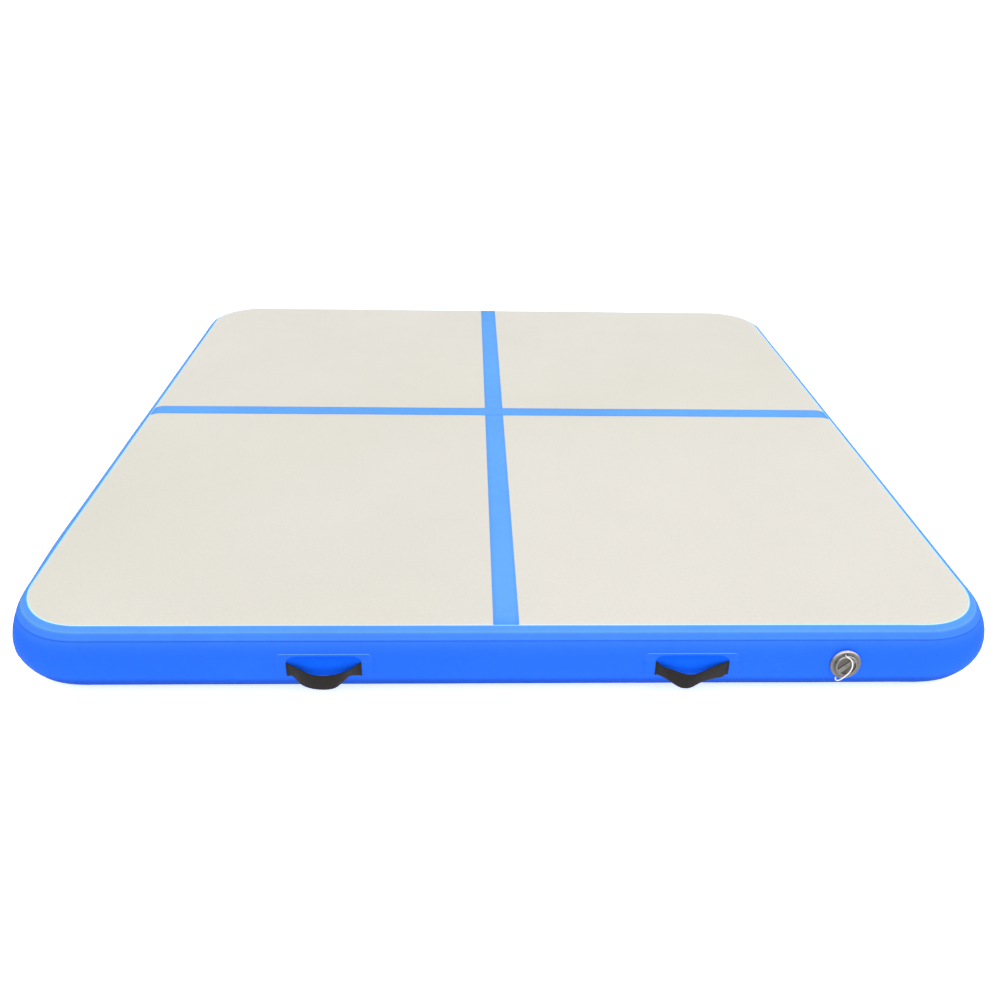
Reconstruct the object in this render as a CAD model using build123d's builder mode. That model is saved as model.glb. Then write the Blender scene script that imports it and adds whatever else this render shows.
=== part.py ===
"""Air track mat: an inflatable square gymnastics mat with carry handles and an inflation valve.

Frame: origin at the middle of the footprint on the floor, X to the right along the front wall,
Y to the back, Z up. The valve is in the front wall, towards +X. All lengths are in millimetres.
"""

from build123d import *
from math import cos, pi, radians, sin, tan
import os

# ---- air chamber: driving dimensions --------------------------------------------------------
MAT_SIDE = 2000.0  # outer length and width
MAT_THICK = 150.0
SHEET = 0.9  # coated sheet
WALL_R = MAT_THICK / 2  # the side walls are half-round
STRIP_R = WALL_R + SHEET  # outside of the side wall strip
SEAM_R = STRIP_R + SHEET  # outside of what is welded on the strip
WALL_LINE = MAT_SIDE / 2 - STRIP_R  # from the middle to the centre line of the wall's round
WALL_Z = MAT_THICK / 2
PLAN_CORNER_R = 110.0  # plan radius of the centre line at the four corners

# Angles round the wall, in degrees from straight up (0) over the outermost line (90).
SHEET_EDGE = 42.0  # edge of the top sheet, under the strip
STRIP_EDGE = 36.0  # edge of the side strip
SEAM_START, SEAM_STEP, SEAM_END = 23.0, 34.5, 47.7  # seam tape: edge, step up on the strip, edge
HALF_TURN = 180.0

CLOTH = 0.4  # drop-stitch base cloth
THREAD_R, THREAD_PITCH, THREADS_A_SIDE = 1.5, 120.0, 15  # bundles of drop-stitch thread

LINE_W, LINE_T = 50.0, 0.5  # line tape
CROSS_LINE_Y = 35.0  # the side-to-side line lies a little behind the middle
LINE_LAP = 3.0  # the upper tape bridges this much to each side of the lower one

# ---- carry handles --------------------------------------------------------------------------
FRONT_LEFT_X, FRONT_RIGHT_X, BACK_X = -346.5, 358.0, 353.0  # the front pair is not quite even
PATCH_W, PATCH_LOW, PATCH_HIGH, PATCH_R = 190.0, -20.0, 31.0, 10.0
WINDOW_W, WINDOW_LOW, WINDOW_HIGH, WINDOW_CUT = 145.0, -14.0, 27.0, 9.0
STRAP_W, STRAP_T = 30.0, 2.0  # webbing
STRAP_TOP = 16.5  # upper edge of the strap's ends, above the wall's middle
STRAP_SAG = 14.5  # its middle hangs this much lower
STRAP_BULGE = 23.0  # and stands this much further out
TAB_L = 18.0  # strap end inside its sleeve
SLEEVE_MARGIN = 2.0
SIDE_GAP = 0.3  # between the loop and the strap ends, along the wall
LOOP_LIFT = 1.3  # from the base patch to the loop's inner face, at its ends
REACH = 60.0  # more than any handle piece stands out

# ---- valve: radii and heights along its axis, 0 at the strip's outside ------------------------
VALVE_X = 656.7
VALVE_TILT = 7.0  # its axis points up by this much
FLANGE_R, FLANGE_BASE, FLANGE_TOP, FLANGE_BEVEL = 29.75, 0.4, 5.0, 1.8
COLLAR_R, POCKET_FLOOR = 21.8, 1.7  # inside of the flange's collar
NECK_R, NECK_TOP = 17.5, 6.0
PORT_R, PORT_FLOOR = 12.5, -1.0  # the pump's nozzle seats here
THROAT_R, SEAT_R, SEAT_T = 11.0, 10.0, 2.0
BARREL_R, BARREL_END = 19.5, -23.5
STRIP_HOLE_R = 20.2
SPIDER_TOP, SPIDER_T, SPOKES, SPOKE_W, HUB_R = -15.5, 3.0, 3, 3.0, 5.0
STEM_R, STEM_FIT = 2.5, 0.05
BUTTON_R, BUTTON_TOP, BUTTON_BASE = 5.5, -1.3, -4.5
SPRING_COLLAR_R, SPRING_COLLAR_T = 5.2, 0.6
SPRING_R, SPRING_WIRE, SPRING_TURNS = 3.9, 0.8, 4
DIAPHRAGM_R, DIAPHRAGM_T, SEAT_GAP = 14.0, 2.0, 0.1
PLUNGER_NUT_R, PLUNGER_NUT_T = 8.0, 3.0
NUT_R, NUT_TOP, NUT_T, NUT_NOTCHES, NUT_NOTCH_R = 29.0, -7.6, 4.5, 8, 2.5
GASKET_R, GASKET_DEPTH = 29.2, 9.0
CAP_R, CAP_TOP, CAP_BASE, CAP_PLATE, CAP_BEVEL = 21.5, 9.5, 2.0, 2.5, 0.8
CAP_BORE_R = 17.85
CAP_GROOVE_R, CAP_GROOVE_LOW, CAP_GROOVE_HIGH = 20.1, 5.1, 6.7
CRESCENT_R, CRESCENT_DEPTH, GRIP_W, GRIP_ANGLE = 18.0, 1.6, 9.0, 40.0
DOT_R, DOT_WIDTH, DOT_DEPTH = 3.0, 0.8, 0.5
SEAL_IN, SEAL_OUT, SEAL_T = 13.5, 17.3, 0.7
TETHER_RING_IN, TETHER_RING_OUT, TETHER_RING_LOW, TETHER_RING_HIGH = 20.4, 23.6, 5.4, 6.4
POST_ANGLE, POST_AT, POST_R, POST_TOP = 103.0, 24.0, 1.6, 8.5
LUG_ANGLE, LUG_OUT, LUG_W, LUG_LOW, LUG_HIGH = 243.0, 31.5, 5.0, 0.9, 3.9
TETHER_R = 1.15
# The tether's route in the valve's own frame: to the right, up the wall, out of the wall.
# It leaves the ring's post, passes in front of the cap and comes back to the flange's lug.
TETHER_ROUTE = [
    (-5.4, 23.4, 8.5),
    (-5.4, 23.4, 12.5),
    (-1.0, 21.4, 14.2),
    (3.9, 17.8, 14.5),
    (7.4, 12.1, 14.2),
    (9.0, 4.9, 14.0),
    (8.3, -3.8, 13.9),
    (4.4, -11.8, 14.0),
    (-0.8, -18.8, 13.6),
    (-5.6, -25.6, 11.6),
    (-9.4, -31.4, 8.4),
    (-13.0, -34.6, 5.2),
    (-16.3, -32.1, 2.4),
    (-14.3, -28.07, 2.4),
]

os.makedirs("parts", exist_ok=True)


def save(piece, label):
    """Names a finished piece and writes it out."""
    piece.label = label
    export_step(piece, f"parts/{label}.step")


def wall_frame(turn, along):
    """Plane on a wall's centre line: x along the wall, y up, z out. turn 0 is the front wall."""
    x_dir = Vector(1, 0, 0).rotate(Axis.Z, turn)
    out = Vector(0, -1, 0).rotate(Axis.Z, turn)
    return Plane(origin=x_dir * along + out * WALL_LINE + Vector(0, 0, WALL_Z), x_dir=x_dir, z_dir=out)


def cross_section(frame):
    """Plane across a wall: x out, y up."""
    return Plane(origin=frame.origin, x_dir=frame.z_dir, z_dir=-frame.x_dir)


def band_section(frame, inner, outer, start, end):
    """Section of a layer round the wall, between two radii and two angles from straight up."""
    with BuildSketch(cross_section(frame)) as section:
        with BuildLine():
            inside = CenterArc((0, 0), inner, 90 - end, end - start)
            outside = CenterArc((0, 0), outer, 90 - end, end - start)
            Line(inside @ 0, outside @ 0)
            Line(inside @ 1, outside @ 1)
        make_face()
    return section.sketch


# ---- air chamber ----------------------------------------------------------------------------
with BuildSketch(Plane.XY.offset(WALL_Z)) as mat_plan:
    RectangleRounded(2 * WALL_LINE, 2 * WALL_LINE, PLAN_CORNER_R)
rim = mat_plan.sketch.faces()[0].outer_wire()
front_middle = wall_frame(0, 0)


def go_round(inner, outer, start, end):
    """Adds a layer that follows the wall all round the mat."""
    sweep(band_section(front_middle, inner, outer, start, end), path=rim)


def flat_layer(low, thick):
    """Adds a flat layer over the whole plan, up to where the wall begins to curve."""
    with BuildSketch(Plane.XY.offset(low)) as outline:
        RectangleRounded(2 * WALL_LINE, 2 * WALL_LINE, PLAN_CORNER_R)
    extrude(outline.sketch, amount=thick)


with BuildPart() as top_sheet:
    flat_layer(MAT_THICK - SHEET, SHEET)
    go_round(WALL_R - SHEET, WALL_R, 0, SHEET_EDGE)
save(top_sheet.part, "top_sheet")

with BuildPart() as bottom_sheet:
    flat_layer(0, SHEET)
    go_round(WALL_R - SHEET, WALL_R, HALF_TURN - SHEET_EDGE, HALF_TURN)
save(bottom_sheet.part, "bottom_sheet")

with BuildPart() as seam_tape_top:
    go_round(WALL_R, STRIP_R, SEAM_START, STRIP_EDGE)
    go_round(STRIP_R, SEAM_R, SEAM_STEP, SEAM_END)
save(seam_tape_top.part, "seam_tape_top")

with BuildPart() as seam_tape_bottom:
    go_round(WALL_R, STRIP_R, HALF_TURN - STRIP_EDGE, HALF_TURN - SEAM_START)
    go_round(STRIP_R, SEAM_R, HALF_TURN - SEAM_END, HALF_TURN - SEAM_STEP)
save(seam_tape_bottom.part, "seam_tape_bottom")

for cloth_name, cloth_low in (
    ("drop_stitch_cloth_top", MAT_THICK - SHEET - CLOTH),
    ("drop_stitch_cloth_bottom", SHEET),
):
    with BuildPart() as cloth:
        flat_layer(cloth_low, CLOTH)
    save(cloth.part, cloth_name)

thread_low = SHEET + CLOTH
with BuildPart() as drop_stitch_threads:
    with BuildSketch(Plane.XY.offset(thread_low)):
        with GridLocations(THREAD_PITCH, THREAD_PITCH, THREADS_A_SIDE, THREADS_A_SIDE):
            Circle(THREAD_R)
    extrude(amount=MAT_THICK - 2 * thread_low)
save(drop_stitch_threads.part, "drop_stitch_threads")


def line_tape(turn, along):
    """Adds a tape over the flat top, with ends that curve down over two walls to the seam tape."""
    ahead = wall_frame(turn, along)
    behind = wall_frame(turn + HALF_TURN, -along)
    for frame in (ahead, behind):
        end = band_section(frame, WALL_R, WALL_R + LINE_T, 0, SEAM_START)
        extrude(end, amount=LINE_W / 2, both=True)
    top = Plane(origin=ahead.x_dir * along + Vector(0, 0, MAT_THICK), x_dir=ahead.x_dir, z_dir=(0, 0, 1))
    with BuildSketch(top) as strip:
        Rectangle(LINE_W, 2 * WALL_LINE)
    extrude(strip.sketch, amount=LINE_T)


with BuildPart() as line_tape_long:
    line_tape(0, 0)
save(line_tape_long.part, "line_tape_long")

with BuildPart() as line_tape_cross:
    line_tape(90, CROSS_LINE_Y)
    with BuildSketch(Plane.XY.offset(MAT_THICK)):
        with Locations((0, CROSS_LINE_Y)):
            Rectangle(LINE_W + 2 * LINE_LAP, LINE_W)
    extrude(amount=2 * LINE_T)
    add(line_tape_long.part, mode=Mode.SUBTRACT)
save(line_tape_cross.part, "line_tape_cross")


# ---- carry handles --------------------------------------------------------------------------
def wall_layer(frame, inner, outer, width, mode=Mode.ADD):
    """Adds a length of pipe about the wall's centre line; a radius of 0 inside makes it solid."""
    with BuildSketch(cross_section(frame)) as ring:
        Circle(outer)
        if inner > 0:
            Circle(inner, mode=Mode.SUBTRACT)
    extrude(ring.sketch, amount=width / 2, both=True, mode=mode)


def upright(frame, width, low, high, radius=0.0, at=0.0):
    """Rectangle seen from outside the wall, between two heights, with its middle at along."""
    with BuildSketch(frame) as outline:
        with Locations((at, (low + high) / 2)):
            if radius > 0:
                RectangleRounded(width, high - low, radius)
            else:
                Rectangle(width, high - low)
    return outline.sketch


def strap_ends(frame, length, inner, outer, margin):
    """Adds two blocks of wall layer where the strap's ends lie, margin wider all round."""
    for side in (-1, 1):
        with BuildPart(mode=Mode.PRIVATE) as block:
            wall_layer(frame, inner, outer, PATCH_W)
            middle = side * (WINDOW_W + length) / 2
            low, high = STRAP_TOP - STRAP_W - margin, STRAP_TOP + margin
            extrude(upright(frame, length, low, high, at=middle), amount=REACH * 2, mode=Mode.INTERSECT)
        add(block.part)


tab_in, tab_out = SEAM_R, SEAM_R + STRAP_T
loop_half = WINDOW_W / 2 - SIDE_GAP
loop_apex = SEAM_R + LOOP_LIFT + STRAP_T / 2 + STRAP_BULGE
loop_r = (loop_half**2 + STRAP_BULGE**2) / (2 * STRAP_BULGE)


def strap_outline(frame):
    """The loop seen from outside the wall: as wide as the webbing and hanging in the middle."""
    top, low = STRAP_TOP, STRAP_TOP - STRAP_W
    with BuildSketch(frame) as outline:
        with BuildLine():
            upper = ThreePointArc((-loop_half, top), (0, top - STRAP_SAG), (loop_half, top))
            lower = ThreePointArc((-loop_half, low), (0, low - STRAP_SAG), (loop_half, low))
            Line(upper @ 0, lower @ 0)
            Line(upper @ 1, lower @ 1)
        make_face()
    return outline.sketch


def make_handle(name, turn, along):
    """Base patch, strap ends, cover patch with its window and sleeves, and the strap loop."""
    frame = wall_frame(turn, along)
    patch = upright(frame, PATCH_W, PATCH_LOW, PATCH_HIGH, PATCH_R)

    with BuildPart() as base_patch:
        wall_layer(frame, STRIP_R, SEAM_R, PATCH_W)
        extrude(patch, amount=2 * REACH, mode=Mode.INTERSECT)
    save(base_patch.part, f"{name}_base_patch")

    with BuildPart() as tabs:
        strap_ends(frame, TAB_L, tab_in, tab_out, 0)
    save(tabs.part, f"{name}_strap_ends")

    with BuildPart() as cover:
        wall_layer(frame, SEAM_R, SEAM_R + SHEET, PATCH_W)
        extrude(patch, amount=2 * REACH, mode=Mode.INTERSECT)
        strap_ends(frame, TAB_L + SLEEVE_MARGIN, SEAM_R, tab_out + SHEET, SLEEVE_MARGIN)
        with BuildSketch(frame) as window:
            with Locations((0, (WINDOW_LOW + WINDOW_HIGH) / 2)):
                Rectangle(WINDOW_W, WINDOW_HIGH - WINDOW_LOW)
            chamfer(window.vertices().group_by(Axis.Z)[-1], length=WINDOW_CUT)
        extrude(window.sketch, amount=2 * REACH, mode=Mode.SUBTRACT)
        add(tabs.part, mode=Mode.SUBTRACT)
    save(cover.part, f"{name}_cover_patch")

    plan = Plane(origin=frame.origin, x_dir=frame.x_dir, z_dir=-frame.y_dir)
    with BuildPart() as strap:
        with BuildSketch(plan) as band:
            with Locations((0, loop_apex - loop_r)):
                Circle(loop_r + STRAP_T / 2)
                Circle(loop_r - STRAP_T / 2, mode=Mode.SUBTRACT)
        extrude(band.sketch, amount=REACH, both=True)
        extrude(strap_outline(frame), amount=2 * REACH, mode=Mode.INTERSECT)
    save(strap.part, f"{name}_strap")


make_handle("handle_front_left", 0, FRONT_LEFT_X)
make_handle("handle_front_right", 0, FRONT_RIGHT_X)
make_handle("handle_back_left", HALF_TURN, BACK_X)
make_handle("handle_back_right", HALF_TURN, -BACK_X)


# ---- valve ----------------------------------------------------------------------------------
valve_wall = wall_frame(0, VALVE_X)
tilt = radians(VALVE_TILT)
valve_out = Vector(0, -cos(tilt), sin(tilt))
valve_origin = valve_wall.origin + valve_out * STRIP_R
valve_plane = Plane(origin=valve_origin, x_dir=(1, 0, 0), z_dir=valve_out)
valve_section = Plane(origin=valve_origin, x_dir=(1, 0, 0), z_dir=-valve_plane.y_dir)
valve_axis = Axis(valve_origin, valve_out)


def turned(points):
    """Adds what an outline of (radius, height) points makes when turned about the valve's axis."""
    with BuildSketch(valve_section) as outline:
        with BuildLine():
            Polyline(*points, close=True)
        make_face()
    revolve(outline.sketch, axis=valve_axis)


def washer(inner, outer, low, high):
    """Adds a plain ring, or a disc where inner is 0."""
    turned([(inner, low), (outer, low), (outer, high), (inner, high)])


def on_circle(radius, angle):
    return (radius * cos(radians(angle)), radius * sin(radians(angle)))


with BuildPart() as side_wall_strip:
    go_round(WALL_R, STRIP_R, STRIP_EDGE, HALF_TURN - STRIP_EDGE)
    with BuildSketch(valve_plane) as strip_hole:
        Circle(STRIP_HOLE_R)
    extrude(strip_hole.sketch, amount=REACH / 2, both=True, mode=Mode.SUBTRACT)
save(side_wall_strip.part, "side_wall_strip")

with BuildPart() as valve_body:
    turned(
        [
            (BARREL_R, FLANGE_BASE),
            (FLANGE_R, FLANGE_BASE),
            (FLANGE_R, FLANGE_TOP - FLANGE_BEVEL),
            (FLANGE_R - FLANGE_BEVEL, FLANGE_TOP),
            (COLLAR_R, FLANGE_TOP),
            (COLLAR_R, POCKET_FLOOR),
            (NECK_R, POCKET_FLOOR),
            (NECK_R, NECK_TOP),
            (PORT_R, NECK_TOP),
            (PORT_R, PORT_FLOOR),
            (THROAT_R, PORT_FLOOR),
            (THROAT_R, BARREL_END + SEAT_T),
            (SEAT_R, BARREL_END + SEAT_T),
            (SEAT_R, BARREL_END),
            (BARREL_R, BARREL_END),
        ]
    )
    with BuildSketch(valve_plane.offset(SPIDER_TOP)) as spider:
        Circle(HUB_R)
        with PolarLocations(0, SPOKES, start_angle=90):
            Rectangle(THROAT_R + SEAT_T, SPOKE_W, align=(Align.MIN, Align.CENTER))
        Circle(STEM_R + STEM_FIT, mode=Mode.SUBTRACT)
    extrude(spider.sketch, amount=-SPIDER_T)
    with BuildSketch(valve_plane.offset(LUG_LOW)) as lug:
        with Locations(Location((0, 0, 0), (0, 0, LUG_ANGLE))):
            with Locations(((FLANGE_R + LUG_OUT - LUG_W) / 2, 0)):
                Rectangle(LUG_OUT - FLANGE_R + LUG_W, LUG_W)
    extrude(lug.sketch, amount=LUG_HIGH - LUG_LOW)
save(valve_body.part, "valve_body")

with BuildPart() as valve_gasket_outer:
    washer(STRIP_HOLE_R, GASKET_R, -GASKET_DEPTH, FLANGE_BASE)
    wall_layer(valve_wall, 0, STRIP_R, PATCH_W, mode=Mode.SUBTRACT)
save(valve_gasket_outer.part, "valve_gasket_outer")

with BuildPart() as valve_gasket_inner:
    washer(STRIP_HOLE_R, NUT_R, NUT_TOP, 0)
    wall_layer(valve_wall, 0, WALL_R, PATCH_W, mode=Mode.INTERSECT)
save(valve_gasket_inner.part, "valve_gasket_inner")

with BuildPart() as valve_backing_nut:
    washer(BARREL_R, NUT_R, NUT_TOP - NUT_T, NUT_TOP)
    with BuildSketch(valve_plane.offset(NUT_TOP)) as notches:
        with PolarLocations(NUT_R, NUT_NOTCHES):
            Circle(NUT_NOTCH_R)
    extrude(notches.sketch, amount=-NUT_T, mode=Mode.SUBTRACT)
save(valve_backing_nut.part, "valve_backing_nut")

diaphragm_top = BARREL_END - SEAT_GAP
diaphragm_low = diaphragm_top - DIAPHRAGM_T
with BuildPart() as valve_plunger:
    washer(0, BUTTON_R, BUTTON_BASE, BUTTON_TOP)
    washer(0, STEM_R, diaphragm_low - PLUNGER_NUT_T, BUTTON_BASE)
save(valve_plunger.part, "valve_plunger")

with BuildPart() as valve_diaphragm:
    washer(STEM_R, DIAPHRAGM_R, diaphragm_low, diaphragm_top)
save(valve_diaphragm.part, "valve_diaphragm")

with BuildPart() as plunger_nut:
    washer(STEM_R, PLUNGER_NUT_R, diaphragm_low - PLUNGER_NUT_T, diaphragm_low)
save(plunger_nut.part, "plunger_nut")

spring_collar_top = BUTTON_BASE - SEAT_GAP
spring_collar_low = spring_collar_top - SPRING_COLLAR_T
with BuildPart() as spring_collar:
    washer(STEM_R + STEM_FIT, SPRING_COLLAR_R, spring_collar_low, spring_collar_top)
save(spring_collar.part, "spring_collar")

spring_low = SPIDER_TOP + SPRING_WIRE / 2 + SEAT_GAP
spring_high = spring_collar_low - SPRING_WIRE / 2 - SEAT_GAP
spring_length = spring_high - spring_low
with BuildPart() as valve_spring:
    with BuildLine() as coil:
        Helix(
            pitch=spring_length / SPRING_TURNS,
            height=spring_length,
            radius=SPRING_R,
            center=valve_plane.offset(spring_low).origin,
            direction=valve_out,
        )
    coil_start = Plane(origin=coil.line @ 0, z_dir=coil.line % 0)
    with BuildSketch(coil_start) as wire_section:
        Circle(SPRING_WIRE / 2)
    sweep(wire_section.sketch, path=coil.line, is_frenet=True)
save(valve_spring.part, "valve_spring")

with BuildPart() as valve_cap:
    turned(
        [
            (0, CAP_TOP - CAP_PLATE),
            (CAP_BORE_R, CAP_TOP - CAP_PLATE),
            (CAP_BORE_R, CAP_BASE),
            (CAP_R, CAP_BASE),
            (CAP_R, CAP_GROOVE_LOW),
            (CAP_GROOVE_R, CAP_GROOVE_LOW),
            (CAP_GROOVE_R, CAP_GROOVE_HIGH),
            (CAP_R, CAP_GROOVE_HIGH),
            (CAP_R, CAP_TOP - CAP_BEVEL),
            (CAP_R - CAP_BEVEL, CAP_TOP),
            (0, CAP_TOP),
        ]
    )
    with BuildSketch(valve_plane.offset(CAP_TOP)) as crescents:
        Circle(CRESCENT_R)
        Rectangle(3 * CRESCENT_R, GRIP_W, rotation=GRIP_ANGLE, mode=Mode.SUBTRACT)
    extrude(crescents.sketch, amount=-CRESCENT_DEPTH, mode=Mode.SUBTRACT)
    with BuildSketch(valve_plane.offset(CAP_TOP)) as dot:
        Circle(DOT_R)
        Circle(DOT_R - DOT_WIDTH, mode=Mode.SUBTRACT)
    extrude(dot.sketch, amount=-DOT_DEPTH, mode=Mode.SUBTRACT)
save(valve_cap.part, "valve_cap")

with BuildPart() as cap_seal:
    washer(SEAL_IN, SEAL_OUT, CAP_TOP - CAP_PLATE - SEAL_T, CAP_TOP - CAP_PLATE)
save(cap_seal.part, "cap_seal")

with BuildPart() as tether_ring:
    with BuildSketch(valve_plane.offset(TETHER_RING_LOW)) as ring_plan:
        Circle(TETHER_RING_OUT)
        with Locations(on_circle(POST_AT, POST_ANGLE)):
            Circle(POST_R)
        Circle(TETHER_RING_IN, mode=Mode.SUBTRACT)
    extrude(ring_plan.sketch, amount=TETHER_RING_HIGH - TETHER_RING_LOW)
    with BuildSketch(valve_plane.offset(TETHER_RING_LOW)) as post:
        with Locations(on_circle(POST_AT, POST_ANGLE)):
            Circle(POST_R)
    extrude(post.sketch, amount=POST_TOP - TETHER_RING_LOW)
save(tether_ring.part, "tether_ring")

# The tether: straight runs joined by arcs as large as the runs allow.
tether_points = [valve_plane.from_local_coords(Vector(*point)) for point in TETHER_ROUTE]
tether_runs = [b - a for a, b in zip(tether_points, tether_points[1:])]
tether_radii = []
for before, after in zip(tether_runs, tether_runs[1:]):
    half_turn_angle = radians(before.get_angle(after)) / 2
    tether_radii.append(0.45 * min(before.length, after.length) / tan(half_turn_angle))
with BuildPart() as cap_tether:
    with BuildLine() as tether_line:
        FilletPolyline(*tether_points, radius=tether_radii)
    with BuildSketch(Plane(origin=tether_points[0], z_dir=tether_runs[0])) as cord_section:
        Circle(TETHER_R)
    sweep(cord_section.sketch, path=tether_line.line)
save(cap_tether.part, "cap_tether")

tether_length = tether_line.wire().length
print("tether runs", [round(run.length, 1) for run in tether_runs])
print("tether radii", [round(radius, 1) for radius in tether_radii])
print("tether length", round(tether_length, 1), "volume", round(cap_tether.part.volume, 1))
print("section x length", round(pi * TETHER_R**2 * tether_length, 1))
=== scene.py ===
"""Looks for the air track mat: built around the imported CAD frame, in metres, in the frame's axes."""

from math import asin, cos, pi, radians, sin, sqrt

import bmesh
import bpy
from mathutils import Matrix, Vector, noise


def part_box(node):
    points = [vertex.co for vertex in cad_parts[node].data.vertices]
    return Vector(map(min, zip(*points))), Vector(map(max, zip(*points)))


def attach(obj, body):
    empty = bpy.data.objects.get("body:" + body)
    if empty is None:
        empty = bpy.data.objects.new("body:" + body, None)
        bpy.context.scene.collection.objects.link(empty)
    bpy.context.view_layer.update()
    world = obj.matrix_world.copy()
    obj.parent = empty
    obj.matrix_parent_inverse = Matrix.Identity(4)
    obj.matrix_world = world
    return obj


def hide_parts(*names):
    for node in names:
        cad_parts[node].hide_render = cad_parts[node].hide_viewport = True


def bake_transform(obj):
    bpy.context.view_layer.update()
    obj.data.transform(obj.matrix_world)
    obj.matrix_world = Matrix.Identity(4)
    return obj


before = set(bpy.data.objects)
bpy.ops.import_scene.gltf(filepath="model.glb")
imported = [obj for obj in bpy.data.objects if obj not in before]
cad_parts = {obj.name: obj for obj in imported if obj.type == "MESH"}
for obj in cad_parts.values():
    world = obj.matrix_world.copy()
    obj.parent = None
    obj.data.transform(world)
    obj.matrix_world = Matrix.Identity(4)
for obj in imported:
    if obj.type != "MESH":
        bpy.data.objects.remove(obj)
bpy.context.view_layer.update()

MM = 0.001

# ---- driving dimensions, repeated from the CAD model ------------------------------------------
SHEET = 0.9 * MM
MAT_HALF = 1000 * MM
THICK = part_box("top_sheet")[1].z
WALL_R = THICK / 2
WALL_Z = THICK / 2
STRIP_R = WALL_R + SHEET
SEAM_R = STRIP_R + SHEET
WALL_LINE = MAT_HALF - STRIP_R
PLAN_R = 110 * MM
INNER = WALL_LINE - PLAN_R  # half of the plan square whose corners are the corner arcs' centres
LINE_W, LINE_T = 50 * MM, 0.5 * MM
CROSS_Y = 35 * MM
CLOTH = 0.4 * MM

# ---- where the valve sits: its tilt, the way that it faces, and its place on the front wall ------
VALVE_TILT = radians(7)
VALVE_OUT = Vector((0, -cos(VALVE_TILT), sin(VALVE_TILT)))
VALVE_X = (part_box("valve_body")[0].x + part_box("valve_body")[1].x) / 2
VALVE_ORIGIN = Vector((VALVE_X, -WALL_LINE, WALL_Z)) + VALVE_OUT * STRIP_R
HOLE_R = 20.2 * MM  # the hole that it passes through in the side strip
CAP_TOP, CAP_HOLLOW_R = 9.5 * MM, 18.2 * MM  # the cap's face along the axis, its hollows round it
HOLLOW_SHADE = 0.35  # painted shade makes the cap's hollows this dark beside its face


# ---- camera -----------------------------------------------------------------------------------
def make_camera():
    """The main view: a 34 mm lens, 1.25 m up, looking down at the mat from its front."""
    yaw, pitch, roll = radians(2.36), radians(29.35), radians(1.34)
    ahead = Vector((sin(yaw) * cos(pitch), cos(yaw) * cos(pitch), -sin(pitch)))
    right = Vector((cos(yaw), -sin(yaw), 0))
    up = right.cross(ahead)
    right_rolled = right * cos(roll) + up * sin(roll)
    up_rolled = up * cos(roll) - right * sin(roll)
    data = bpy.data.cameras.new("camera")
    data.sensor_width = 36  # millimetres, as is the lens
    data.lens = 34.143
    camera = bpy.data.objects.new("camera", data)
    bpy.context.scene.collection.objects.link(camera)
    axes = Matrix((right_rolled, up_rolled, -ahead)).transposed().to_4x4()
    place = (-0.07811, -2.42368, 1.24725)
    camera.matrix_world = Matrix.Translation(place) @ axes
    bpy.context.scene.camera = camera


make_camera()


# ---- materials --------------------------------------------------------------------------------
class Shader:
    """A small helper that adds nodes to one material and joins them."""

    def __init__(self, name):
        self.material = bpy.data.materials.new(name)
        self.material.use_nodes = True
        self.nodes = self.material.node_tree.nodes
        self.links = self.material.node_tree.links
        self.bsdf = self.nodes["Principled BSDF"]
        self.coords = self.nodes.new("ShaderNodeTexCoord")

    def add(self, kind, inputs=None, **settings):
        node = self.nodes.new(kind)
        for key, value in settings.items():
            setattr(node, key, value)
        for key, value in (inputs or {}).items():
            self.feed(node, key, value)
        return node

    def feed(self, node, key, value):
        if isinstance(value, bpy.types.NodeSocket):
            self.links.new(value, node.inputs[key])
        else:
            node.inputs[key].default_value = value

    def noise(self, scale, detail=3.0, rough=0.5, stretch=(1, 1, 1)):
        place = self.coords.outputs["Object"]
        mapping = self.add("ShaderNodeMapping", {"Vector": place, "Scale": stretch})
        return self.add(
            "ShaderNodeTexNoise",
            {"Vector": mapping.outputs[0], "Scale": scale, "Detail": detail, "Roughness": rough},
        ).outputs["Fac"]

    def span(self, value, from_low, from_high, to_low, to_high):
        return self.add(
            "ShaderNodeMapRange",
            {
                "Value": value,
                "From Min": from_low,
                "From Max": from_high,
                "To Min": to_low,
                "To Max": to_high,
            },
        ).outputs[0]

    def math(self, operation, a, b=0.0):
        return self.add("ShaderNodeMath", {0: a, 1: b}, operation=operation).outputs[0]

    def mix(self, fac, a, b, blend="MIX"):
        node = self.nodes.new("ShaderNodeMix")
        node.data_type, node.blend_type = "RGBA", blend
        self.feed(node, 0, fac)
        self.feed(node, 6, a)
        self.feed(node, 7, b)
        return node.outputs[2]

    def upward(self):
        """How far the surface faces up: 1 straight up, 0 level, -1 straight down."""
        normal = self.add("ShaderNodeNewGeometry").outputs["Normal"]
        return self.add("ShaderNodeSeparateXYZ", {0: normal}).outputs[2]

    def lit(self, tone):
        """The tone, less the mesh's painted shade at each place; a negative shade paints light."""
        shade = self.add("ShaderNodeAttribute", attribute_name="shade", attribute_type="GEOMETRY")
        return self.math("MULTIPLY", tone, self.math("SUBTRACT", 1.0, shade.outputs["Fac"]))

    def bump(self, height, strength, distance, normal=None):
        inputs = {"Height": height, "Strength": strength, "Distance": distance}
        if normal is not None:
            inputs["Normal"] = normal
        return self.add("ShaderNodeBump", inputs).outputs[0]

    def finish(self, **inputs):
        for key, value in inputs.items():
            self.feed(self.bsdf, key.replace("_", " "), value)
        return self.material


def rgb(r, g, b):
    """A colour in linear light, opaque."""
    return (r, g, b, 1.0)


TOP_LIGHT_POWER = 4.2  # how late, as a face tips up, the PVC's painted top light comes in
PVC_IOR = 1.04  # low, so that the wall stays blue where it is seen edge on


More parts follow.
